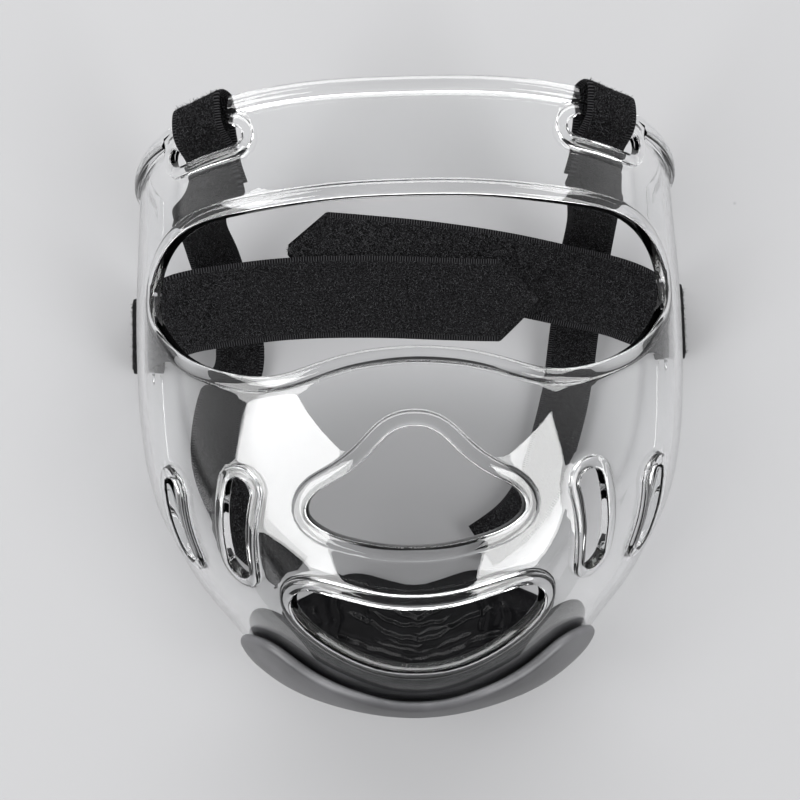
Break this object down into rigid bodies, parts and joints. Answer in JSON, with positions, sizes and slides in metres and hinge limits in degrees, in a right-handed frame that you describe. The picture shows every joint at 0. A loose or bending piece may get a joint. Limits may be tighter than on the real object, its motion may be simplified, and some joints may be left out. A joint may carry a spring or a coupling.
{
  "type": "taekwondo headgear face shield",
  "caption": "Clear moulded face shield for a padded taekwondo headgear, with eye opening, vents, foam chin pieces and black hook-and-loop straps.",
  "frame": {"origin": "middle of the bounding box's bottom, on the surface that the rear rim rests on", "axes": "+Z out of the face and up from the surface, +Y from the chin to the forehead, +X to the viewer's right"},
  "size_m": [0.2238, 0.2274, 0.1158],
  "materials": {
    "clear_shell": "clear, polished",
    "foam": "smooth satin foam",
    "chin_pad": "creased, semi-gloss",
    "tape": "brushed loop pile, matte"
  },
  "bodies": {
    "root": {"face_shield": "clear_shell", "chin_band": "foam", "chin_cup": "chin_pad", "top_strap_left": "tape", "top_strap_right": "tape", "side_strap_left": "tape", "side_strap_right": "tape"}
  },
  "joints": []
}
